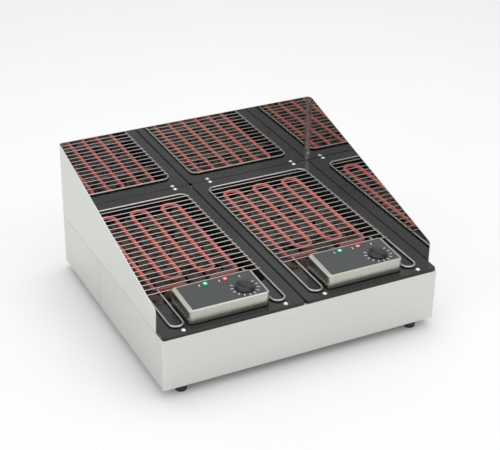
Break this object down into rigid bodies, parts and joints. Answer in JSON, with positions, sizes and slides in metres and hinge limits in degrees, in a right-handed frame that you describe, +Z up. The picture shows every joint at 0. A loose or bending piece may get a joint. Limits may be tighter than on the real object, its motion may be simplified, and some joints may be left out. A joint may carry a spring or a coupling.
{
  "type": "lava-stone grill",
  "caption": "Countertop electric lava-stone grill: a low steel case with side-by-side enamelled bays, wire grids, wedge control boxes and a three-sided mirror splash guard.",
  "frame": {"origin": "on the surface that the feet stand on, below the middle of the case", "axes": "+X to the right, +Y to the back, +Z up; the control boxes are at the front, towards -Y"},
  "size_m": [0.66, 0.6, 0.327],
  "materials": {
    "satin_steel": "satin brushed stainless sheet",
    "box_steel": "satin stainless sheet, finer grain",
    "mirror_steel": "mirror-polished inside, satin outside",
    "zinc_steel": "zinc-plated sheet",
    "zinc_screws": "zinc-plated fixings",
    "bright_screws": "polished stainless domes",
    "black_enamel": "semi-gloss black vitreous enamel",
    "lava_rock": "porous dark brown-black rock",
    "chromed_wire": "chromed wire",
    "glowing_tube": "sheathed tube at dull red heat",
    "element_steel": "heat-darkened flat bar",
    "brass": "turned brass",
    "charcoal_face": "charcoal satin face with white ticks",
    "knob_plastic": "black moulded plastic",
    "black_plastic": "black nylon",
    "regulator_body": "moulded phenolic",
    "green_lens": "lit green lens",
    "red_lens": "lit red lens",
    "black_rubber": "moulded rubber",
    "white_ceramic": "steatite",
    "wire_jacket": "silicone sleeve"
  },
  "bodies": {
    "root": {"base_plate": "zinc_steel", "base_screws": "zinc_screws", "cable_gland": "black_plastic", "case_front_wrap": "satin_steel", "case_rear_wrap": "satin_steel", "centre_rail": "zinc_steel", "foot_nuts": "zinc_screws", "foot_screws": "zinc_screws", "gland_nut": "black_plastic", "left_box_pads": "black_rubber", "left_box_terminals": "white_ceramic", "left_control_base": "zinc_steel", "left_control_box": "box_steel", "left_element_ferrules": "brass", "left_element_supports": "element_steel", "left_energy_regulator": "regulator_body", "left_face_plate": "charcoal_face", "left_green_lamp": "green_lens", "left_harness": "wire_jacket", "left_heat_shield": "zinc_steel", "left_heating_element": "glowing_tube", "left_lava_stones": "lava_rock", "left_pan": "black_enamel", "left_pan_inserts": "zinc_screws", "left_pan_screws": "bright_screws", "left_red_lamp": "red_lens", "left_wire_nipple": "zinc_screws", "mains_terminal_block": "white_ceramic", "right_box_pads": "black_rubber", "right_box_terminals": "white_ceramic", "right_control_base": "zinc_steel", "right_control_box": "box_steel", "right_element_ferrules": "brass", "right_element_supports": "element_steel", "right_energy_regulator": "regulator_body", "right_face_plate": "charcoal_face", "right_green_lamp": "green_lens", "right_harness": "wire_jacket", "right_heat_shield": "zinc_steel", "right_heating_element": "glowing_tube", "right_lava_stones": "lava_rock", "right_pan": "black_enamel", "right_pan_inserts": "zinc_screws", "right_pan_screws": "bright_screws", "right_red_lamp": "red_lens", "right_wire_nipple": "zinc_screws", "rubber_feet": "black_rubber", "splash_guard": "mirror_steel"},
    "left_grid": {"left_grid_rim": "chromed_wire", "left_grid_bars": "chromed_wire"},
    "left_knob": {"left_knob": "knob_plastic"},
    "right_grid": {"right_grid_rim": "chromed_wire", "right_grid_bars": "chromed_wire"},
    "right_knob": {"right_knob": "knob_plastic"}
  },
  "joints": [
    {"name": "left_grid_lift", "type": "slide", "parent": "root", "child": "left_grid", "axis": [0, 0, 1], "range_m": [0, 0.25]},
    {"name": "left_knob_turn", "type": "hinge", "parent": "root", "child": "left_knob", "pos_m": [-0.1167, -0.24149, 0.18543], "axis": [0, -0.0515, 0.9987], "range_deg": [-150, 150]},
    {"name": "right_grid_lift", "type": "slide", "parent": "root", "child": "right_grid", "axis": [0, 0, 1], "range_m": [0, 0.25]},
    {"name": "right_knob_turn", "type": "hinge", "parent": "root", "child": "right_knob", "pos_m": [0.209, -0.24149, 0.18543], "axis": [0, -0.0515, 0.9987], "range_deg": [-150, 150]}
  ]
}
